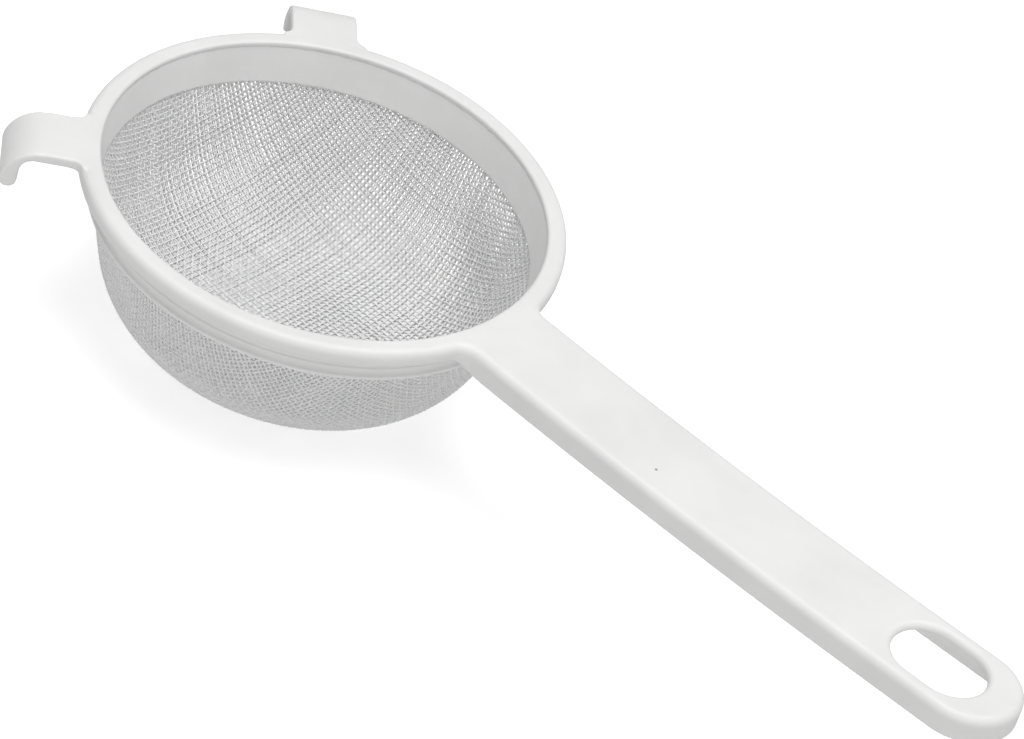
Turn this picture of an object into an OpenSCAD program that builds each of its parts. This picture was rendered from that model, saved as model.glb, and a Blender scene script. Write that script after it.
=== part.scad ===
// Hand strainer with a doubled mesh bowl in a moulded frame.
// The origin is the lowest point of the bowl, on its axis. +Z is up and the
// handle runs along +X.

/* [Rim] */
// Outside diameter of the rim
rim_od = 120; // [102:1:150]
// Width of the flat rim, from its inner edge to its outer edge
rim_w = 5.1; // [5:0.1:8]
// Thickness of the rim's top plate
rim_t = 1.8; // [1.4:0.1:2.4]
// Depth of the outer lip, from the top of the rim to the lip's lower edge
lip_depth = 4.1; // [3:0.1:5.5]
// Thickness of the outer lip
lip_t = 1.5; // [1.2:0.1:1.6]
// Radius on the outer top edge of the rim and of the handle
edge_round = 2.1; // [0.8:0.1:2.4]
// Radius on the inner top edge of the rim
inner_round = 0.6; // [0.3:0.1:0.9]
// Depth of the socket wall that grips the collar, from the top of the rim
socket_depth = 3.8; // [3:0.1:5]
// Thickness of the socket wall
socket_t = 1.2; // [0.9:0.1:1.3]

/* [Collar] */
// Depth of the collar's lower edge below the top of the rim
collar_depth = 11.5; // [10:0.1:16]
// How far the collar's top edge is set back behind the rim's inner edge
collar_set_back = 0.1; // [0.05:0.05:0.4]
// Thickness of the collar's neck at its top
neck_t = 0.9; // [0.8:0.1:1.2]
// Height of the lower band, above the bead
band_h = 2.2; // [1.5:0.1:3]
// How far the lower band stands out from the neck
band_out = 0.3; // [0.1:0.05:0.5]
// Diameter of the bead round the collar's lower edge
bead_d = 1.4; // [1:0.1:1.8]
// How far the bead stands out from the lower band
bead_out = 0.45; // [0.2:0.05:0.6]
// Plastic left inside the mesh at the collar's lower edge
cover_in = 0.3; // [0.2:0.05:0.6]

/* [Bowl] */
// Depth of the bowl, from the top of the rim to the lowest point
bowl_depth = 48.6; // [40:0.2:60]
// Radius of the bowl's rounded corner
corner_r = 25; // [18:0.5:30]
// Radius of the shallow dome across the bottom
dome_r = 120; // [90:5:170]
// Angle that the dome turns through before the corner begins, in degrees
dome_turn = 10; // [6:0.5:12]
// Slope of the bowl's wall from the horizontal, in degrees
wall_slope = 74.5; // [72:0.5:82]
// Thickness of one woven layer
mesh_t = 0.7; // [0.4:0.05:0.9]
// Length of mesh held inside the collar
mesh_hold = 2.8; // [2:0.1:4]

/* [Handle] */
// Distance from the bowl's axis to the tip of the handle
handle_reach = 211; // [170:1:260]
// Width of the handle
handle_w = 25.6; // [20:0.2:32]
// Depth of the handle's side walls
handle_depth = 6.8; // [5:0.1:8]
// Thickness of the handle's side walls
handle_wall = 2.4; // [1.4:0.1:3]
// Thickness of the handle's top plate
handle_t = 1.9; // [1.6:0.1:3]
// Radius of the handle's long upward curve
handle_curve_r = 1640; // [900:10:3000]
// Radius in plan where the handle meets the rim
handle_fillet = 4; // [2:0.2:8]

/* [Hanging slot] */
// Length of the slot
slot_l = 23.2; // [18:0.2:32]
// Width of the slot
slot_w = 17; // [10:0.5:18]
// Distance from the end of the slot to the tip of the handle
slot_margin = 9.3; // [6:0.1:12]
// Radius on the slot's top edge
slot_round = 1.5; // [0.6:0.1:1.7]

/* [Hooks] */
// Angle of each hook from the far side of the rim, in degrees
hook_angle = 45; // [30:1:60]
// Width of a hook
hook_w = 17; // [12:0.1:22]
// Thickness of a hook's flat part
hook_t = 2.8; // [2:0.1:4]
// Thickness of a hook's lip
hook_lip_t = 4.4; // [2.4:0.1:5]
// Length of a hook's flat part beyond the rim
hook_flat = 7.7; // [6:0.1:14]
// Radius of the outer bend
hook_bend_r = 9.8; // [6:0.2:14]
// Angle that the outer bend turns through, in degrees
hook_turn = 85; // [70:1:90]
// Radius inside the hook, between its flat part and its lip
hook_inner_r = 3; // [1:0.1:3.5]
// Radius in plan where a hook meets the rim
hook_fillet = 2.6; // [1.5:0.1:4]

/* [Clearances] */
// Gap between the collar's neck and the socket wall
press_gap = 0.05; // [0.02:0.01:0.1]
// Gap between the mesh and the plastic round it
mould_gap = 0.03; // [0.02:0.01:0.06]
// Gap between the two woven layers
layer_gap = 0.1; // [0.05:0.01:0.3]

/* [Hidden] */
$fn = 96;

// cuts run this far past the faces they open
past = 1;
// pieces of one moulding sink this far into each other
sink = 0.4;
// the fillets bite this far into the rim and stop this far above the handle's
// lower edge, so that faces cross cleanly and never lie on each other
bite = 0.05;
// angle between two points of the bowl's rounded corner
arc_step = 4.3;
// largest angle and largest distance between two points of any other arc
arc_turn = 15;
arc_len = 0.8;

rim_r = rim_od / 2;
rim_ir = rim_r - rim_w;
rim_top = bowl_depth;
rim_under = rim_top - rim_t;

// collar radii, from the rim's inner edge outwards
collar_top_ir = rim_ir + collar_set_back;
neck_r = collar_top_ir + neck_t;
band_r = neck_r + band_out;
collar_foot = rim_top - collar_depth;

// the mesh leaves the collar under the band, with the same skin of plastic
// outside it as the band stands out by, and a share for the slope of the wall
mesh_mouth_r = band_r - band_out - mesh_hold / tan(wall_slope) - 2 * mould_gap;
mesh_top = collar_foot + mesh_hold;
inner_off = mesh_t + layer_gap;
pack_t = inner_off + mesh_t;
collar_foot_ir = mesh_mouth_r - pack_t - cover_in;

// bowl outline: flat middle, shallow dome, rounded corner, sloping wall
dome_rise = dome_r * (1 - cos(dome_turn));
dome_run = dome_r * sin(dome_turn);
corner_rise = corner_r * (cos(dome_turn) - cos(wall_slope));
corner_run = corner_r * (sin(wall_slope) - sin(dome_turn));
wall_rise = collar_foot - dome_rise - corner_rise;
wall_run = wall_rise / tan(wall_slope);
flat_r = mesh_mouth_r - wall_run - corner_run - dome_run;
corner_c = [
  flat_r + dome_run - corner_r * sin(dome_turn),
  dome_rise + corner_r * cos(dome_turn)
];

// handle: long curve out of the rim, straight end and round tip
handle_r = handle_w / 2;
root_x = rim_r - lip_t - sink;
tip_l = slot_l + slot_margin + slot_round + sink;
end_l = tip_l - handle_r;
curve_turn = asin((handle_reach - root_x) / norm([handle_curve_r, tip_l]))
  - atan2(tip_l, handle_curve_r);
slot_r = slot_w / 2;
slot_x1 = tip_l - slot_margin - slot_r;
slot_x0 = slot_x1 - (slot_l - slot_w);

// hooks
hook_x = rim_r - lip_t;
hook_bend = [rim_r + hook_flat, -hook_bend_r];
hook_end = hook_bend + (hook_bend_r - hook_lip_t / 2) * [sin(hook_turn), cos(hook_turn)];
hook_inside = [hook_end[0] - hook_lip_t / 2 - hook_inner_r, -hook_t - hook_inner_r];

// how far out the fillet of a bar of half width half_w ends on the bar's side
function fillet_run(half_w, r) = sqrt(pow(rim_r + r - bite, 2) - pow(half_w + r, 2));

// ---- outlines ----

// square corner left by rounding an edge: the corner is at the origin and
// the material lies towards -x and -y
module round_off(r) {
  difference() {
    translate([-r, -r]) square(r + past);
    translate([-r, -r]) circle(r);
    translate([-r - past, -r - past]) square([past, r + 2 * past + past]);
    translate([-r - past, -r - past]) square([r + 2 * past + past, past]);
  }
}

// section of the rim, x from the bowl's axis and y as height
module rim_section() {
  difference() {
    translate([rim_ir, rim_top - lip_depth]) square([rim_w, lip_depth]);
    translate([rim_ir - past, rim_top - lip_depth - past])
      square([rim_w - lip_t + past, lip_depth - rim_t + past]);
    translate([rim_r, rim_top]) round_off(edge_round);
    translate([rim_ir, rim_top]) mirror([1, 0]) round_off(inner_round);
  }
  translate([neck_r + press_gap, rim_top - socket_depth])
    square([socket_t, socket_depth - rim_t + sink]);
}

// half of the handle's section, x across from its middle and y down from its top
module handle_half_section() {
  difference() {
    translate([0, -handle_depth]) square([handle_r, handle_depth]);
    translate([-past, -handle_depth - past])
      square([handle_r - handle_wall + past, handle_depth - handle_t + past]);
    translate([handle_r, 0]) round_off(edge_round);
  }
}

module handle_section() {
  handle_half_section();
  mirror([1, 0]) handle_half_section();
}

// points of an arc about c, where angle 0 is straight up and 90 is along +x
function arc(c, r, from, to) =
  let (turn = abs(to - from), n = ceil(max(turn / arc_turn, turn * r * PI / 180 / arc_len)))
  [for (i = [0 : n]) let (a = from + (to - from) * i / n) c + r * [sin(a), cos(a)]];

// side view of a hook, its flat top at y = 0
module hook_outline() {
  polygon(concat(
    [[hook_x, 0]],
    arc(hook_bend, hook_bend_r, 0, hook_turn),
    arc(hook_end, hook_lip_t / 2, hook_turn + arc_turn, 270),
    arc(hook_inside, hook_inner_r, 90, 0),
    [[hook_x, -hook_t]]
  ));
}

// ---- sweeps ----

// runs a section straight along +x
module run_straight(l) {
  rotate([90, 0, 90]) linear_extrude(l) children();
}

// runs a section along -x while it curves upwards, its top at radius r
module run_back_up(r, turn) {
  mirror([1, 0, 0]) translate([0, 0, r]) rotate([90, 90, 0])
    rotate_extrude(angle = turn, $fn = 360) translate([r, 0]) rotate(90) children();
}

// ---- frame ----

module rim() {
  rotate_extrude($fn = 180) rim_section();
}

// corner between the rim and a bar of half width half_w, filled with a fillet
// of radius r on the +y side: d deep, hollow beyond its wall if wall > 0, and
// rounded along its top if edge > 0
module plan_fillet(half_w, r, d, wall, edge) {
  cx = fillet_run(half_w, r);
  c = [cx, half_w + r];
  on_rim = c * rim_r / norm(c);
  inside = (rim_r - lip_t / 2) / rim_r;
  difference() {
    translate([0, 0, rim_top - d]) linear_extrude(d)
      polygon([on_rim, c, [cx, half_w], [cx, half_w - lip_t], [on_rim[0] * inside, half_w - lip_t],
        on_rim * inside]);
    translate([c[0], c[1], rim_top - d - past]) cylinder(r = r, h = d + 2 * past);
    if (wall > 0)
      translate([0, 0, rim_top - d - past]) difference() {
        cylinder(r = rim_r + 2 * r, h = d - rim_t + past);
        translate([c[0], c[1], -past]) cylinder(r = r + wall, h = d + 2 * past);
      }
    if (edge > 0)
      translate([c[0], c[1], rim_top]) rotate_extrude()
        translate([r, 0]) mirror([1, 0]) round_off(edge);
    // its lower edge slopes from the lip's lower edge to the bar's
    if (d > lip_depth)
      translate([on_rim[0], on_rim[1], rim_top - lip_depth])
        rotate([0, 0, atan2(half_w - on_rim[1], cx - on_rim[0])])
          rotate([0, atan2(d - lip_depth, norm([cx, half_w] - on_rim)), 0])
            translate([-rim_w, -rim_w, -d]) cube([3 * rim_w, 2 * rim_w, d]);
  }
}

// oblong post along x, through the handle
module slot_post() {
  for (x = [slot_x0, slot_x1])
    translate([x, 0, -handle_depth - past]) cylinder(r = slot_r, h = handle_depth + 2 * past);
  translate([slot_x0, -slot_r, -handle_depth - past])
    cube([slot_x1 - slot_x0, 2 * slot_r, handle_depth + 2 * past]);
}

// cutter that rounds the top edge of the slot
module slot_edge_cutter() {
  for (x = [slot_x0, slot_x1])
    translate([x, 0, 0]) rotate([0, 0, x == slot_x0 ? 90 : -90])
      rotate_extrude(angle = 180) translate([slot_r, 0]) mirror([1, 0]) round_off(slot_round);
  for (s = [0, 1]) mirror([0, s, 0])
    translate([slot_x0, 0, 0]) run_straight(slot_x1 - slot_x0)
      translate([slot_r, 0]) mirror([1, 0]) round_off(slot_round);
}

// straight end of the handle with its round tip and its slot, top at z = 0
module handle_end() {
  difference() {
    union() {
      run_straight(end_l) handle_section();
      translate([end_l, 0, 0]) rotate([0, 0, -90])
        rotate_extrude(angle = 180) handle_half_section();
    }
    slot_post();
    slot_edge_cutter();
  }
}

// the curve is drawn back from the straight end, so that the two meet exactly
module handle() {
  translate([
    root_x + handle_curve_r * sin(curve_turn),
    0,
    rim_top + handle_curve_r * (1 - cos(curve_turn))
  ])
    rotate([0, -curve_turn, 0]) {
      handle_end();
      run_back_up(handle_curve_r, curve_turn) handle_section();
    }
  for (s = [0, 1]) mirror([0, s, 0])
    plan_fillet(handle_r, handle_fillet, handle_depth - bite, handle_wall, edge_round);
}

// one hook, pointing along +x
module hook() {
  translate([0, 0, rim_top]) rotate([90, 0, 0])
    linear_extrude(hook_w, center = true) hook_outline();
  for (s = [0, 1]) mirror([0, s, 0])
    plan_fillet(hook_w / 2, hook_fillet, hook_t, 0, 0);
}

module frame() color([0.94, 0.94, 0.93]) {
  difference() {
    union() {
      rim();
      handle();
      for (a = [180 - hook_angle, 180 + hook_angle]) rotate([0, 0, a]) hook();
    }
    // nothing of the handle or hooks stands inside the socket
    translate([0, 0, rim_top - handle_depth - past])
      cylinder(r = neck_r + press_gap, h = handle_depth - rim_t + past, $fn = 180);
  }
}

// ---- collar and mesh ----

// outline of the bowl at a distance off inside its outer face, up to height z
function bowl_line(off, z) = concat(
  [[0, off]],
  [for (a = [0 : dome_turn / 2 : dome_turn])
    [flat_r + (dome_r - off) * sin(a), dome_r - (dome_r - off) * cos(a)]],
  [for (a = [dome_turn + arc_step : arc_step : wall_slope]) corner_point(off, a)],
  [corner_point(off, wall_slope)],
  [wall_point(off, z)]
);
function corner_point(off, a) = corner_c + (corner_r - off) * [sin(a), -cos(a)];
function wall_point(off, z) = let (p = corner_point(off, wall_slope))
  [p[0] + (z - p[1]) / tan(wall_slope), z];
function backwards(list) = [for (i = [len(list) - 1 : -1 : 0]) list[i]];

module bowl_shell(off, t) {
  rotate_extrude($fn = 180)
    polygon(concat(bowl_line(off, mesh_top), backwards(bowl_line(off + t, mesh_top))));
}

// section of the collar before the mesh is let into it
module collar_section() {
  bead_r = bead_d / 2;
  bead_c = [band_r + bead_out - bead_r, collar_foot + bead_r];
  side = asin((bead_r - bead_out) / bead_r);
  polygon(concat(
    [
      [collar_top_ir, rim_under],
      [neck_r, rim_under],
      [neck_r, collar_foot + bead_d + band_h],
      [band_r, collar_foot + bead_d + band_h - band_out]
    ],
    arc(bead_c, bead_r, side, 180),
    [[collar_foot_ir, collar_foot]]
  ));
}

// the space that the two layers take up inside the collar
module mesh_pocket_section() {
  polygon([
    wall_point(-mould_gap, collar_foot - past),
    wall_point(-mould_gap, mesh_top),
    wall_point(pack_t + mould_gap, mesh_top),
    wall_point(pack_t + mould_gap, collar_foot - past)
  ]);
}

module sieve_collar() color([0.90, 0.90, 0.89])
  rotate_extrude($fn = 180) difference() {
    collar_section();
    mesh_pocket_section();
  }

module outer_sieve() color([0.80, 0.81, 0.81])
  bowl_shell(0, mesh_t);

module inner_sieve() color([0.86, 0.87, 0.87])
  bowl_shell(inner_off, mesh_t);

frame();
sieve_collar();
inner_sieve();
outer_sieve();
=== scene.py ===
# %% [markdown]
# # A hand strainer with a doubled mesh bowl
# The real thing is two plastic mouldings and two pieces of woven mesh. The
# frame is one moulding: a flat rim, a strap handle with a slot to hang it by,
# and two hooks that rest on the far side of a pot. The collar is the second
# moulding. It holds the edges of both mesh bowls and presses into the rim.
# Everything here is in metres, in the same place as the engineering model.

# %% Load the fixed model and keep its size
import bpy
import bmesh
import numpy as np
from math import sin, cos, tan, pi, radians, sqrt, hypot
from mathutils import Matrix, Vector


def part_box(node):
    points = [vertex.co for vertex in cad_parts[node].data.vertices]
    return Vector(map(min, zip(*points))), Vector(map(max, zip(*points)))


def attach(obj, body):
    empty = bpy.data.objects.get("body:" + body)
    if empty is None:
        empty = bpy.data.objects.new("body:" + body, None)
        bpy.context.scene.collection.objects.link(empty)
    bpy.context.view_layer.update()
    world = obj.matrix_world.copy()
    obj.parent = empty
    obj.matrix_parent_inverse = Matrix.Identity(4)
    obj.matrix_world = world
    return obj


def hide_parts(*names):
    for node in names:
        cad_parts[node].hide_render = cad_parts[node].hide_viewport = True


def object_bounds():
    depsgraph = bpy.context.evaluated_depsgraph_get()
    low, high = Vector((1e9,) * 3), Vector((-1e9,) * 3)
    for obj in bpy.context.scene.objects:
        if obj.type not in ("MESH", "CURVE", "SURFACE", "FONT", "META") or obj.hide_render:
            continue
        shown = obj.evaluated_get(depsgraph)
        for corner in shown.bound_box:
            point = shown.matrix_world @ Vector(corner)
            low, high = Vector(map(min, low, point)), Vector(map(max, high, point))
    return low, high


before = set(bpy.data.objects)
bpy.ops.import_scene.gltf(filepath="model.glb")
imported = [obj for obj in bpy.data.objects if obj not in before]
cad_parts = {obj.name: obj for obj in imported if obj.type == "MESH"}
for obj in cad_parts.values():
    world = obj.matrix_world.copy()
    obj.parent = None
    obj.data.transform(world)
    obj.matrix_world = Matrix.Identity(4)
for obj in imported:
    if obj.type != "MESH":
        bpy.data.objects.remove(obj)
cad_low, cad_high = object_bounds()
MM = 0.001
cad_size_mm = [round((high - low) / MM, 1) for low, high in zip(cad_low, cad_high)]
print("parts:", sorted(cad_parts), "size in mm:", cad_size_mm)

# %% [markdown]
# ## The camera
# The camera looks down on the strainer from the front right, from a little
# under a metre away, and it is rolled so that the handle runs down to the
# right. A long lens keeps the circles of the rim close to true ellipses. The
# camera's place is given in its own directions from the rim's middle, because
# a view is framed by stepping aside, not by turning.

# %% Place the camera
rim_plate = 1.8 * MM
rim_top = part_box("sieve_collar")[1].z + rim_plate
rim_middle = Vector((0, 0, rim_top))
azimuth, elevation, roll = radians(29.18), radians(39.06), radians(19.90)
back = Vector((sin(azimuth) * cos(elevation), -cos(azimuth) * cos(elevation), sin(elevation)))
level_right = (-back).cross(Vector((0, 0, 1))).normalized()
level_up = level_right.cross(-back)
right = cos(roll) * level_right + sin(roll) * level_up
up = -sin(roll) * level_right + cos(roll) * level_up

camera_data = bpy.data.cameras.new("camera")
camera_data.sensor_width = 36
camera_data.lens = 123.05
camera = bpy.data.objects.new("camera", camera_data)
bpy.context.scene.collection.objects.link(camera)
step_right, step_down, distance = 44.1 * MM, 44.4 * MM, 838.9 * MM
place = rim_middle + step_right * right - step_down * up + distance * back
turn = Matrix((right, up, back)).transposed().to_4x4()
camera.matrix_world = Matrix.Translation(place) @ turn
camera_data.clip_start = 0.05
camera_data.clip_end = 20
bpy.context.scene.camera = camera
print("camera stands at", [round(v, 3) for v in place])

# %% [markdown]
# ## Node groups for the finishes
# Both mouldings come out of a steel mould with a fine satin finish, so they
# share one effect: a tone that drifts slowly over the part, a roughness that
# changes with it, and a very fine grain to catch the light. It is built once
# as a group, and each plastic gives it its own sizes and tones.

# %% A small helper that adds and links nodes
def add(tree, kind, values=None, **settings):
    node = tree.nodes.new(kind)
    for key, value in settings.items():
        setattr(node, key, value)
    for key, value in (values or {}).items():
        if isinstance(value, bpy.types.NodeSocket):
            tree.links.new(value, node.inputs[key])
        else:
            node.inputs[key].default_value = value
    return node


def new_group(name, inputs, outputs):
    group = bpy.data.node_groups.new(name, "ShaderNodeTree")
    for label, kind, value in inputs:
        socket = group.interface.new_socket(label, in_out="INPUT", socket_type=kind)
        socket.default_value = value
    for label, kind in outputs:
        group.interface.new_socket(label, in_out="OUTPUT", socket_type=kind)
    return group, add(group, "NodeGroupInput").outputs, add(group, "NodeGroupOutput").inputs


def noise(tree, coordinates, scale, detail=2.0, roughness=0.5):
    values = {"Vector": coordinates, "Detail": detail, "Roughness": roughness, "Scale": scale}
    return add(tree, "ShaderNodeTexNoise", values).outputs["Fac"]


def spread(tree, value, low, high, to_low=0.0, to_high=1.0):
    values = {"Value": value, "From Min": low, "From Max": high, "To Min": to_low, "To Max": to_high}
    return add(tree, "ShaderNodeMapRange", values).outputs["Result"]

# %% The satin moulding group
FLOAT, COLOUR = "NodeSocketFloat", "NodeSocketColor"
satin, gets, gives = new_group(
    "satin_moulding",
    [("Light tone", COLOUR, (0.86, 0.86, 0.855, 1)), ("Deep tone", COLOUR, (0.80, 0.80, 0.79, 1)),
     ("Drift size", FLOAT, 45.0), ("Grain size", FLOAT, 2600.0),
     ("Smoothest", FLOAT, 0.34), ("Roughest", FLOAT, 0.50)],
    [("Colour", COLOUR), ("Roughness", FLOAT), ("Grain height", FLOAT)])
where = add(satin, "ShaderNodeTexCoord").outputs["Object"]
drift = noise(satin, where, gets["Drift size"], 3.0, 0.55)
grain = noise(satin, where, gets["Grain size"], 2.0, 0.6)
flow = noise(satin, where, 190.0, 4.0, 0.6)
tone_mask = spread(satin, drift, 0.36, 0.68)
tone = add(satin, "ShaderNodeMix", {"Factor": tone_mask}, data_type="RGBA")
satin.links.new(gets["Light tone"], tone.inputs[6])
satin.links.new(gets["Deep tone"], tone.inputs[7])
satin.links.new(tone.outputs[2], gives["Colour"])
rough = add(satin, "ShaderNodeMix", {"Factor": spread(satin, flow, 0.3, 0.7),
            "A": gets["Smoothest"], "B": gets["Roughest"]}, data_type="FLOAT")
satin.links.new(rough.outputs[0], gives["Roughness"])
height = add(satin, "ShaderNodeMath", {0: grain, 1: 0.75}, operation="MULTIPLY")
sink_mark = add(satin, "ShaderNodeMath", {0: flow, 1: 0.35}, operation="MULTIPLY")
total = add(satin, "ShaderNodeMath", {0: height.outputs[0], 1: sink_mark.outputs[0]}, operation="ADD")
satin.links.new(total.outputs[0], gives["Grain height"])
print("group", satin.name, "has", len(satin.nodes), "nodes")

# %% The handling group: faint scuffs that any used plastic gathers
handling, gets, gives = new_group(
    "handling", [("Amount", FLOAT, 0.5), ("Streak size", FLOAT, 300.0)], [("Mask", FLOAT)])
where = add(handling, "ShaderNodeTexCoord").outputs["Object"]
long_way = add(handling, "ShaderNodeMapping", {"Vector": where, "Scale": (0.25, 2.2, 1.0)})
streak = noise(handling, long_way.outputs[0], gets["Streak size"], 5.0, 0.7)
patch = noise(handling, where, 60.0, 2.0, 0.5)
thin = spread(handling, streak, 0.60, 0.80)
broad = spread(handling, patch, 0.45, 0.65)
both = add(handling, "ShaderNodeMath", {0: thin, 1: broad}, operation="MULTIPLY")
share = add(handling, "ShaderNodeMath", {0: both.outputs[0], 1: gets["Amount"]}, operation="MULTIPLY")
handling.links.new(share.outputs[0], gives["Mask"])
print("group", handling.name, "has", len(handling.nodes), "nodes")

# %% [markdown]
# ## The white plastic of the frame and the collar
# Polypropylene is slightly cloudy: light goes in a little way and comes out
# again, which softens the shading at thin edges. So the shader has a small
# subsurface share with a short reach, and an index of refraction of 1.49.
# The scuffs only change the roughness and darken the tone a very little.

# %% Make the plastics
def moulded_plastic(name, light_tone, deep_tone, smoothest, roughest, grain_size, bump, scuffs, marks=()):
    material = bpy.data.materials.new(name)
    material.use_nodes = True
    tree = material.node_tree
    shader = tree.nodes["Principled BSDF"]
    skin = add(tree, "ShaderNodeGroup", node_tree=satin)
    skin.inputs["Light tone"].default_value = light_tone
    skin.inputs["Deep tone"].default_value = deep_tone
    skin.inputs["Grain size"].default_value = grain_size
    skin.inputs["Smoothest"].default_value = smoothest
    skin.inputs["Roughest"].default_value = roughest
    used = add(tree, "ShaderNodeGroup", node_tree=handling)
    used.inputs["Amount"].default_value = scuffs
    darker = add(tree, "ShaderNodeMix", {"Factor": used.outputs["Mask"]}, data_type="RGBA")
    tree.links.new(skin.outputs["Colour"], darker.inputs[6])
    darker.inputs[7].default_value = (0.62, 0.62, 0.60, 1)
    colour = darker.outputs[2]
    where = add(tree, "ShaderNodeTexCoord").outputs["Object"]
    for spot, radius, shade in marks:
        gap = add(tree, "ShaderNodeVectorMath", {0: where, 1: spot}, operation="DISTANCE")
        inside = spread(tree, gap.outputs["Value"], radius, radius * 0.55)
        mark = add(tree, "ShaderNodeMix", {"Factor": inside}, data_type="RGBA")
        tree.links.new(colour, mark.inputs[6])
        mark.inputs[7].default_value = shade
        colour = mark.outputs[2]
    tree.links.new(colour, shader.inputs["Base Color"])
    rougher = add(tree, "ShaderNodeMath", {0: skin.outputs["Roughness"], 1: used.outputs["Mask"]},
                  operation="ADD")
    tree.links.new(rougher.outputs[0], shader.inputs["Roughness"])
    lumps = add(tree, "ShaderNodeBump", {"Height": skin.outputs["Grain height"], "Strength": bump,
                "Distance": 0.00005})
    tree.links.new(lumps.outputs["Normal"], shader.inputs["Normal"])
    shader.inputs["IOR"].default_value = 1.49
    shader.inputs["Subsurface Weight"].default_value = 0.10
    shader.inputs["Subsurface Radius"].default_value = (1.0, 0.95, 0.9)
    shader.inputs["Subsurface Scale"].default_value = 0.0012
    return material


gate_spot = ((0.112, -0.0058, 0.0495), 0.00045, (0.30, 0.30, 0.30, 1))
frame_plastic = moulded_plastic("frame_polypropylene", (0.85, 0.85, 0.845, 1), (0.80, 0.80, 0.795, 1),
                                0.36, 0.52, 2600.0, 0.35, 0.25, [gate_spot])
collar_plastic = moulded_plastic("collar_polypropylene", (0.92, 0.92, 0.915, 1), (0.87, 0.87, 0.865, 1),
                                 0.40, 0.58, 2200.0, 0.45, 0.15)
print("plastics:", frame_plastic.name, collar_plastic.name)

# %% [markdown]
# ## The frame
# The frame is one thin shell of plastic, and no edge of it is sharp: the
# mould's corners are eased so that the plastic fills them and the part lets
# go. It could be modelled loop by loop, but the long run of the rim into the
# handle and the hooks would need many hand-made corners. Here the exact shape
# is copied and given an even skin of small faces, and then relaxed, which
# eases every edge and corner by the same small amount. The hooks get more of
# it, because their edges are rounder on the real part.

# %% Copy, even out and ease the frame
def copy_solid(node, name):
    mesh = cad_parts[node].data.copy()
    mesh.materials.clear()
    work = bmesh.new()
    work.from_mesh(mesh)
    bmesh.ops.remove_doubles(work, verts=work.verts, dist=1e-6)
    bmesh.ops.recalc_face_normals(work, faces=work.faces)
    work.to_mesh(mesh)
    work.free()
    for label in [a.name for a in mesh.attributes if a.name.startswith("custom_normal")]:
        mesh.attributes.remove(mesh.attributes[label])
    made = bpy.data.objects.new(name, mesh)
    bpy.context.scene.collection.objects.link(made)
    return made


def apply_modifiers(made):
    ready = bpy.context.evaluated_depsgraph_get()
    mesh = bpy.data.meshes.new_from_object(made.evaluated_get(ready))
    made.modifiers.clear()
    made.data = mesh


def points_of(mesh):
    flat = np.empty(len(mesh.vertices) * 3)
    mesh.vertices.foreach_get("co", flat)
    return flat.reshape(-1, 3)


strainer_frame = copy_solid("frame", "strainer_frame")
skin = strainer_frame.modifiers.new("even_skin", "REMESH")
skin.mode = "VOXEL"
skin.voxel_size = 0.00036
apply_modifiers(strainer_frame)
spots = points_of(strainer_frame.data)
past_rim = np.hypot(spots[:, 0], spots[:, 1]) - 61.2 * MM
is_hook = np.clip(past_rim / (2 * MM), 0, 1) * (spots[:, 0] < 0)
hooks = strainer_frame.vertex_groups.new(name="hooks")
for index in np.nonzero(is_hook > 0)[0]:
    hooks.add([int(index)], float(is_hook[index]), "REPLACE")
ease = strainer_frame.modifiers.new("ease_all", "SMOOTH")
ease.factor, ease.iterations = 0.5, 6
ease_hooks = strainer_frame.modifiers.new("ease_hooks", "SMOOTH")
ease_hooks.factor, ease_hooks.iterations, ease_hooks.vertex_group = 0.5, 10, "hooks"
apply_modifiers(strainer_frame)
print("frame:", len(strainer_frame.data.polygons), "faces")

# %% [markdown]
# ## The handle, drawn true
# The even skin leaves faint steps along the handle, because its small faces
# meet the long curve at a slight slant. A toolmaker would run a scraper of the
# right section down the whole length, and the same is done here. Every point
# of the skin is measured across the handle and down from its curved top, and
# moved to the nearest place on the section's outline. At the round tip the
# section turns about the tip's middle, and the slot's edge has a small section
# of its own.

# %% The outlines of the handle's wall and of the slot's edge
# sizes here are in millimetres, as on the engineering model
handle_half, handle_depth, wall, plate = 12.8, 6.8, 2.4, 1.9
top_edge, lower_edge, inner_corner = 2.1, 0.4, 0.5
slot_half, slot_edge, slot_under_edge = 8.5, 1.5, 0.25
middle_side = -2.0


def round_corner(before, corner, after, radius, steps=5):
    corner = np.array(corner, float)
    a = np.array(before, float) - corner
    b = np.array(after, float) - corner
    a /= hypot(*a)
    b /= hypot(*b)
    half = np.arccos(np.clip(a @ b, -1, 1)) / 2
    run = radius / tan(half)
    middle = corner + (a + b) / hypot(*(a + b)) * radius / sin(half)
    start, end = corner + a * run - middle, corner + b * run - middle
    sweep = pi - 2 * half
    points = []
    for k in range(steps + 1):
        t = k / steps
        mix = (sin((1 - t) * sweep) * start + sin(t * sweep) * end) / sin(sweep)
        points.append(middle + mix)
    return points


def rounded_outline(corners):
    """Points along an open outline of (x, y, corner radius)."""
    line = [np.array(corners[0][:2], float)]
    for before, corner, after in zip(corners, corners[1:], corners[2:]):
        line += round_corner(before[:2], corner[:2], after[:2], corner[2], 12)
    return np.array(line + [np.array(corners[-1][:2], float)])


wall_outline = rounded_outline([
    (middle_side, 0, 0), (handle_half, 0, top_edge), (handle_half, handle_depth, lower_edge),
    (handle_half - wall, handle_depth, lower_edge), (handle_half - wall, plate, inner_corner),
    (middle_side, plate, 0)])
slot_outline = rounded_outline([
    (handle_half, 0, 0), (slot_half, 0, slot_edge), (slot_half, plate, slot_under_edge),
    (handle_half, plate, 0)])
print("outlines:", len(wall_outline), "points for the wall,", len(slot_outline), "for the slot's edge")


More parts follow.
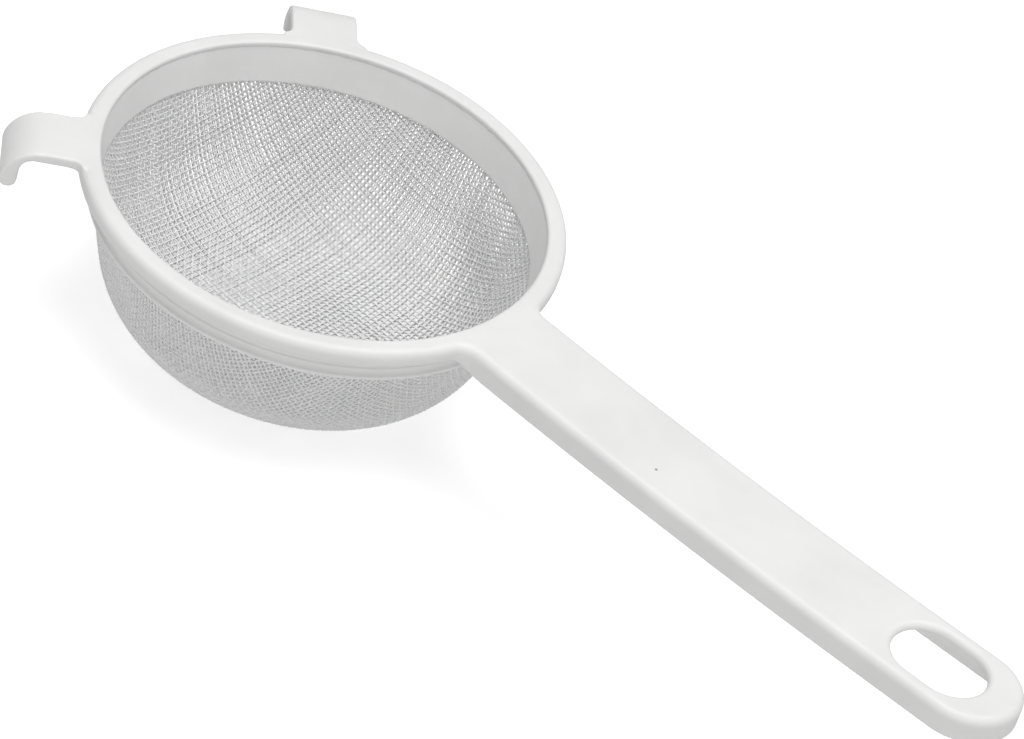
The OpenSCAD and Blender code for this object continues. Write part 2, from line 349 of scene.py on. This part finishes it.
def onto(points, outline):
    """The nearest place on an outline to each point."""
    best, gap = points.copy(), np.full(len(points), np.inf)
    for start, end in zip(outline, outline[1:]):
        run = end - start
        share = np.clip((points - start) @ run / (run @ run), 0, 1)
        spot = start + share[:, None] * run
        distance = np.hypot(*(points - spot).T)
        closer = distance < gap
        best[closer], gap[closer] = spot[closer], distance[closer]
    return best

# %% Measure every point of the skin in the handle's own directions
root_x, tip_x, curve_radius = 58.1, 211.0, 1640.0
slot_length, slot_margin, before_slot = 23.2, 9.3, 0.4
blend_from, blend_run = 63.0, 3.0
straight = slot_length + slot_margin + slot_edge + before_slot
curve_turn = np.arcsin((tip_x - root_x) / hypot(curve_radius, straight))
curve_turn -= np.arctan2(straight, curve_radius)
rim_level = rim_top / MM
spots = points_of(strainer_frame.data) / MM
taken = spots[:, 0] > blend_from
x, y, z = spots[taken].T
from_axis = rim_level + curve_radius - z
angle = np.arctan2(x - root_x, from_axis)
on_curve = angle < curve_turn
end_x = root_x + curve_radius * sin(curve_turn)
end_z = rim_level + curve_radius * (1 - cos(curve_turn))
along = (x - end_x) * cos(curve_turn) + (z - end_z) * sin(curve_turn)
depth = np.where(on_curve, np.hypot(x - root_x, from_axis) - curve_radius,
                 (x - end_x) * sin(curve_turn) - (z - end_z) * cos(curve_turn))
# plan distances from the handle's middle line and from the slot's middle line
tip_middle = straight - handle_half
slot_far = straight - slot_margin - slot_half
slot_near = slot_far - (slot_length - 2 * slot_half)
past_tip = np.where(on_curve, 0.0, np.maximum(along - tip_middle, 0))
across = np.hypot(past_tip, y)
slot_along = along - np.clip(along, slot_near, slot_far)
from_slot = np.hypot(slot_along, y)
slot_reach = 10.2
at_slot = ~on_curve & (from_slot < slot_reach)
print("handle:", int(taken.sum()), "points,", int(at_slot.sum()), "of them round the slot")

# %% Draw the sections along it
new_wall = onto(np.stack([across, depth], 1), wall_outline)
new_slot = onto(np.stack([from_slot, depth], 1), slot_outline)
blend = np.clip((x - blend_from) / blend_run, 0, 1)
grow = np.where(at_slot, new_slot[:, 0] / np.maximum(from_slot, 0.01),
                new_wall[:, 0] / np.maximum(across, 0.01))
new_along = np.where(at_slot, along + slot_along * (grow - 1), along + past_tip * (grow - 1))
new_y = y * np.where(at_slot | (across > 0.5), grow, 1.0)
new_depth = np.where(at_slot, new_slot[:, 1], new_wall[:, 1])
new_x = np.where(on_curve, root_x + (curve_radius + new_depth) * np.sin(angle),
                 end_x + new_along * cos(curve_turn) + new_depth * sin(curve_turn))
new_z = np.where(on_curve, rim_level + curve_radius - (curve_radius + new_depth) * np.cos(angle),
                 end_z + new_along * sin(curve_turn) - new_depth * cos(curve_turn))
moved = np.stack([new_x, new_y, new_z], 1) - spots[taken]
moved *= blend[:, None]
print("the skin moved by up to", round(float(np.abs(moved).max()), 2), "mm")
spots[taken] += moved
strainer_frame.data.vertices.foreach_set("co", (spots * MM).ravel())
strainer_frame.data.update()
strainer_frame.data.shade_smooth()
strainer_frame.data.materials.append(frame_plastic)
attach(strainer_frame, "root")
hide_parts("frame")

# %% [markdown]
# ## The collar
# The collar is a ring of one section, so it is turned like a pot: a line of
# points for half a section, spun round the axis. Plastic is moulded round the
# mesh, and where it creeps out between the wires its lower inside edge is a
# little ragged. The lathe gives that by moving the edge up and down by a
# fraction of a millimetre as it goes round. The collar's top is pressed home
# under the rim, so it is drawn 0.3 mm into the frame and no light gets past.

# %% The ring that a section makes when it is spun
def spin(name, section, turns, wobble=None):
    section = np.array(section)
    angles = np.arange(turns) * 2 * pi / turns
    radius = np.repeat(section[None, :, 0], turns, 0)
    level = np.repeat(section[None, :, 1], turns, 0)
    if wobble is not None:
        level = level + wobble(angles)
    points = np.stack([radius * np.cos(angles)[:, None], radius * np.sin(angles)[:, None], level], 2)
    count = len(section)
    ring = np.arange(turns)[:, None] * count
    nearby = np.roll(np.arange(turns), -1)[:, None] * count
    here, onward = np.arange(count)[None], np.roll(np.arange(count), -1)[None]
    faces = np.stack([ring + here, nearby + here, nearby + onward, ring + onward], 2).reshape(-1, 4)
    return mesh_from(name, points.reshape(-1, 3), faces)


def mesh_from(name, points, faces):
    mesh = bpy.data.meshes.new(name)
    mesh.vertices.add(len(points))
    mesh.vertices.foreach_set("co", np.asarray(points, float).ravel())
    sides = faces.shape[1]
    mesh.loops.add(len(faces) * sides)
    mesh.loops.foreach_set("vertex_index", faces.astype(np.int32).ravel())
    mesh.polygons.add(len(faces))
    mesh.polygons.foreach_set("loop_start", (np.arange(len(faces)) * sides).astype(np.int32))
    mesh.update(calc_edges=True)
    mesh.validate()
    mesh.shade_smooth()
    made = bpy.data.objects.new(name, mesh)
    bpy.context.scene.collection.objects.link(made)
    return made

# %% Turn the collar
collar_low, collar_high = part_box("sieve_collar")
bead_out, band_out, into_frame = 0.45 * MM, 0.3 * MM, 0.3 * MM
foot, top = collar_low.z, collar_high.z + into_frame
bead_outer = collar_high.x
band_radius = bead_outer - bead_out
neck_radius = band_radius - band_out
mouth_inner, foot_inner = 55.0 * MM, 53.3 * MM
band_top = foot + 3.6 * MM
bead_radius = 0.7 * MM
bead_middle = np.array([bead_outer - bead_radius, foot + bead_radius])

corners = [(foot_inner, foot), (mouth_inner, top), (neck_radius, top), (neck_radius, band_top),
           (band_radius, band_top - band_out), (band_radius, bead_middle[1] + 0.65 * MM)]
section = [np.array([foot_inner + 0.22 * MM, foot]), np.array([foot_inner + 0.04 * MM, foot + 0.12 * MM])]
section += [np.array(corners[0]) + (np.array(corners[1]) - corners[0]) * t for t in (0.06, 0.12, 0.3, 0.6)]
for before, corner, after in zip(corners, corners[1:], corners[2:]):
    section += round_corner(before, corner, after, 0.14 * MM if corner[1] < top else 0.06 * MM, 4)
for angle in np.radians(np.linspace(21, 180, 13)):
    section.append(bead_middle + bead_radius * np.array([sin(angle), cos(angle)]))
section = np.array(section)
section[:, 0] = np.minimum(section[:, 0], bead_outer)

seeded = np.random.default_rng(7)
waves = [(int(n), seeded.uniform(0, 2 * pi), seeded.uniform(0.4, 1.0)) for n in seeded.integers(14, 190, 26)]


def ragged(angles):
    sway = sum(size * np.sin(n * angles + start) for n, start, size in waves) / len(waves) ** 0.5
    share = np.zeros(len(section))
    share[1:5] = (0.7, 1.0, 0.6, 0.2)
    return sway[:, None] * share[None] * 0.22 * MM


collar = spin("collar", section, 720, ragged)
collar.data.materials.append(collar_plastic)
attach(collar, "root")
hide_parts("sieve_collar")
print("collar:", len(section), "points round the section,", len(collar.data.polygons), "faces")

# %% [markdown]
# ## The woven mesh
# Each bowl begins as a flat square weave of clear nylon thread, pressed hot
# into shape, so its threads keep running straight when seen from the pole but
# close up and lean over on the wall. A texture of holes would look flat from
# close by, so every thread is modelled: it is laid on the bowl by its
# distance from the pole, and it goes over and under the threads it crosses.
# The two bowls are turned less than a degree from each other, so their threads
# lie side by side and fall in and out of step slowly, in a broad wavy pattern.

# %% The line of the bowl, from the pole up into the collar
bowl_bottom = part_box("outer_sieve")[0].z
dome_radius, corner_radius = 120 * MM, 25 * MM
dome_turn, wall_slope = radians(10), radians(74.5)
flat_radius = 9.67 * MM
corner_middle = np.array([flat_radius + (dome_radius - corner_radius) * sin(dome_turn),
                          dome_radius - (dome_radius - corner_radius) * cos(dome_turn)])


def bowl_line(depth_in, end_level):
    """Points (radius, height) and lengths along the bowl, a given depth inside its outer face."""
    points = [(0.0, depth_in)]
    for angle in np.linspace(0, dome_turn, 8):
        points.append((flat_radius + (dome_radius - depth_in) * sin(angle),
                       dome_radius - (dome_radius - depth_in) * cos(angle)))
    for angle in np.linspace(dome_turn, wall_slope, 40)[1:]:
        points.append((corner_middle[0] + (corner_radius - depth_in) * sin(angle),
                       corner_middle[1] - (corner_radius - depth_in) * cos(angle)))
    last = points[-1]
    points.append((last[0] + (end_level - last[1]) / tan(wall_slope), end_level))
    line = np.array(points) + (0, bowl_bottom)
    length = np.concatenate([[0], np.cumsum(np.hypot(*np.diff(line, axis=0).T))])
    even = np.linspace(0, length[-1], 2400)
    line = np.stack([np.interp(even, length, line[:, 0]), np.interp(even, length, line[:, 1])], 1)
    kernel = np.hanning(61)
    kernel /= kernel.sum()
    padded = np.pad(line, ((30, 30), (0, 0)), "reflect", reflect_type="odd")
    line = np.stack([np.convolve(padded[:, k], kernel, "valid") for k in (0, 1)], 1)
    return even, line


thread_end = foot + 1.6 * MM
print("the bowl's line is", round(bowl_line(0, thread_end)[0][-1] / MM, 1), "mm long from the pole")

# %% Lay a family of threads on the bowl
def weave(name, depth_in, turn_deg, shift, pitch, thread, family, seed):
    """One family of threads: 0 runs along the cloth's first direction, 1 across it."""
    rng = np.random.default_rng(seed)
    length, line = bowl_line(depth_in, thread_end)
    slope = np.gradient(line, length, axis=0)
    reach = length[-1]
    lanes = int(reach / pitch) + 1
    sides, points, faces, total = 6, [], [], 0
    round_section = np.arange(sides) * 2 * pi / sides
    ripple = rng.uniform(0, 2 * pi, 6)
    for lane in range(-lanes, lanes + 1):
        drift = 0.05 * pitch * np.sin(0.31 * lane + ripple[0]) + 0.05 * pitch * rng.normal()
        across = lane * pitch + shift[1 - family] * pitch + drift
        if abs(across) >= reach - 0.2 * pitch:
            continue
        half = sqrt(reach ** 2 - across ** 2)
        offset = shift[family] * pitch
        first, last = int(np.ceil((-half - offset) / pitch * 2)), int(np.floor((half - offset) / pitch * 2))
        steps = np.arange(first, last + 1)
        if len(steps) < 3:
            continue
        along = steps * pitch / 2 + offset
        sway = 0.05 * pitch * np.sin(along / pitch * 0.23 + ripple[1] + lane * 0.17)
        side = across + sway
        flat = (along, side) if family == 0 else (side, along)
        distance = np.minimum(np.hypot(*flat), reach)
        angle = np.arctan2(flat[1], flat[0]) + radians(turn_deg)
        r, z = np.interp(distance, length, line[:, 0]), np.interp(distance, length, line[:, 1])
        dr, dz = np.interp(distance, length, slope[:, 0]), np.interp(distance, length, slope[:, 1])
        around = np.stack([np.cos(angle), np.sin(angle)], 1)
        inward = np.concatenate([-dz[:, None] * around, dr[:, None]], 1)
        over = np.where(steps % 2 == 0, np.where((steps // 2 + lane) % 2 == 0, 1.0, -1.0), 0.0)
        over = over if family == 0 else -over
        centre = np.concatenate([r[:, None] * around, z[:, None]], 1)
        centre += inward * (over * thread * 0.40)[:, None]
        ahead = np.gradient(centre, axis=0)
        ahead /= np.linalg.norm(ahead, axis=1)[:, None]
        beside = np.cross(ahead, inward)
        beside /= np.linalg.norm(beside, axis=1)[:, None]
        upright = np.cross(beside, ahead)
        width = thread / 2 * (1 + 0.05 * rng.normal())
        ring = centre[:, None] + width * (np.cos(round_section)[None, :, None] * beside[:, None]
                                          + np.sin(round_section)[None, :, None] * upright[:, None])
        count = len(centre)
        grid = total + np.arange(count * sides).reshape(count, sides)
        onward = np.roll(grid, -1, 1)
        faces.append(np.stack([grid[:-1], grid[1:], onward[1:], onward[:-1]], 2).reshape(-1, 4))
        points.append(ring.reshape(-1, 3))
        total += count * sides
    return mesh_from(name, np.concatenate(points), np.concatenate(faces))

# %% [markdown]
# ## The nylon of the threads
# Clear nylon thread looks pale grey: light goes into it and comes out again a
# little further on, and a narrow bright line runs along its side. So half of
# the shader is subsurface with a short reach, the roughness is low, and the
# tone changes slowly, since threads are never all equally clean.

# %% Make the thread material
strand, gets, gives = new_group(
    "strand", [("Light tone", COLOUR, (0.8, 0.8, 0.8, 1)), ("Deep tone", COLOUR, (0.6, 0.6, 0.6, 1)),
               ("Patch size", FLOAT, 140.0)],
    [("Colour", COLOUR), ("Roughness", FLOAT), ("Height", FLOAT)])
where = add(strand, "ShaderNodeTexCoord").outputs["Object"]
patch = noise(strand, where, gets["Patch size"], 4.0, 0.65)
fine = noise(strand, where, 5200.0, 2.0, 0.6)
tone = add(strand, "ShaderNodeMix", {"Factor": spread(strand, patch, 0.32, 0.70)}, data_type="RGBA")
strand.links.new(gets["Light tone"], tone.inputs[6])
strand.links.new(gets["Deep tone"], tone.inputs[7])
strand.links.new(tone.outputs[2], gives["Colour"])
strand.links.new(spread(strand, patch, 0.3, 0.7, 0.42, 0.58), gives["Roughness"])
strand.links.new(fine, gives["Height"])


def nylon(name, light_tone, deep_tone, patch_size):
    material = bpy.data.materials.new(name)
    material.use_nodes = True
    tree = material.node_tree
    shader = tree.nodes["Principled BSDF"]
    skin = add(tree, "ShaderNodeGroup", node_tree=strand)
    skin.inputs["Light tone"].default_value = light_tone
    skin.inputs["Deep tone"].default_value = deep_tone
    skin.inputs["Patch size"].default_value = patch_size
    tree.links.new(skin.outputs["Colour"], shader.inputs["Base Color"])
    tree.links.new(skin.outputs["Roughness"], shader.inputs["Roughness"])
    lumps = add(tree, "ShaderNodeBump", {"Height": skin.outputs["Height"], "Strength": 0.25,
                "Distance": 0.00003})
    tree.links.new(lumps.outputs["Normal"], shader.inputs["Normal"])
    shader.inputs["IOR"].default_value = 1.53
    shader.inputs["Subsurface Weight"].default_value = 0.5
    shader.inputs["Subsurface Radius"].default_value = (1.0, 1.0, 1.0)
    shader.inputs["Subsurface Scale"].default_value = 0.0006
    return material


inner_nylon = nylon("inner_nylon", (0.87, 0.87, 0.87, 1), (0.81, 0.81, 0.81, 1), 120.0)
outer_nylon = nylon("outer_nylon", (0.93, 0.93, 0.93, 1), (0.87, 0.87, 0.87, 1), 150.0)

# %% Weave both bowls
layers = [("inner_sieve", 1.15 * MM, 0.35, (0.33, 0.41), inner_nylon, "inner_mesh"),
          ("outer_sieve", 0.35 * MM, -0.35, (0.0, 0.0), outer_nylon, "outer_mesh")]
for number, (node, depth_in, turn_deg, shift, material, slot) in enumerate(layers):
    for family, word in enumerate(("warp", "weft")):
        threads = weave(f"{node}_{word}", depth_in, turn_deg, shift, 1.45 * MM, 0.46 * MM, family,
                        100 + 10 * number + family)
        threads.data.materials.append(material)
        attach(threads, "root")
        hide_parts(node)
        print(threads.name, len(threads.data.polygons), "faces")

# %% [markdown]
# ## The floor and the light
# White plastic on a white floor only shows its shape if the light comes
# mostly from above, so that the sides stay greyer than the top. A big soft
# panel hangs overhead, and a dim surround fills in the rest. A studio would
# light the paper on its own: here a Light Path node makes the floor and the
# surround bright to the camera but dimmer in what they throw back upwards.

# %% The pale floor
floor_mesh = bpy.data.meshes.new("floor")
floor_mesh.from_pydata([(-6, -6, 0), (6, -6, 0), (6, 6, 0), (-6, 6, 0)], [], [(0, 1, 2, 3)])
floor = bpy.data.objects.new("floor", floor_mesh)
bpy.context.scene.collection.objects.link(floor)
floor.location.z = cad_low[2] - 0.0002
paper = bpy.data.materials.new("pale_paper")
paper.use_nodes = True
tree = paper.node_tree
shader = tree.nodes["Principled BSDF"]
seen = add(tree, "ShaderNodeLightPath").outputs["Is Camera Ray"]
tone = add(tree, "ShaderNodeMix", {"Factor": seen}, data_type="RGBA")
tone.inputs[6].default_value = (0.76, 0.76, 0.76, 1)
tone.inputs[7].default_value = (0.90, 0.90, 0.90, 1)
tree.links.new(tone.outputs[2], shader.inputs["Base Color"])
tree.links.new(spread(tree, seen, 0, 1, 0.0, 0.5), shader.inputs["Emission Strength"])
shader.inputs["Emission Color"].default_value = (1, 1, 1, 1)
shader.inputs["Roughness"].default_value = 0.9
shader.inputs["Specular IOR Level"].default_value = 0.1
floor_mesh.materials.append(paper)

# %% The lights and the surround
def panel(name, place, target, size, watts):
    data = bpy.data.lights.new(name, "AREA")
    data.shape = "DISK"
    data.size = size
    data.energy = watts
    light = bpy.data.objects.new(name, data)
    light.location = place
    light.rotation_euler = (Vector(target) - Vector(place)).to_track_quat("-Z", "Y").to_euler()
    bpy.context.scene.collection.objects.link(light)
    return light


middle = (0.06, 0, 0.04)
panel("overhead", (0.1, 0.05, 1.5), middle, 1.3, 15.5)
panel("side_fill", (0.9, -1.1, 0.7), middle, 0.9, 3.2)

surround = bpy.data.worlds.new("surround")
bpy.context.scene.world = surround
surround.use_nodes = True
sky = surround.node_tree.nodes["Background"]
sky.inputs["Color"].default_value = (1, 1, 1, 1)
seen = add(surround.node_tree, "ShaderNodeLightPath").outputs["Is Camera Ray"]
surround.node_tree.links.new(spread(surround.node_tree, seen, 0, 1, 0.37, 1.0), sky.inputs["Strength"])
bpy.context.scene.view_settings.view_transform = "Standard"
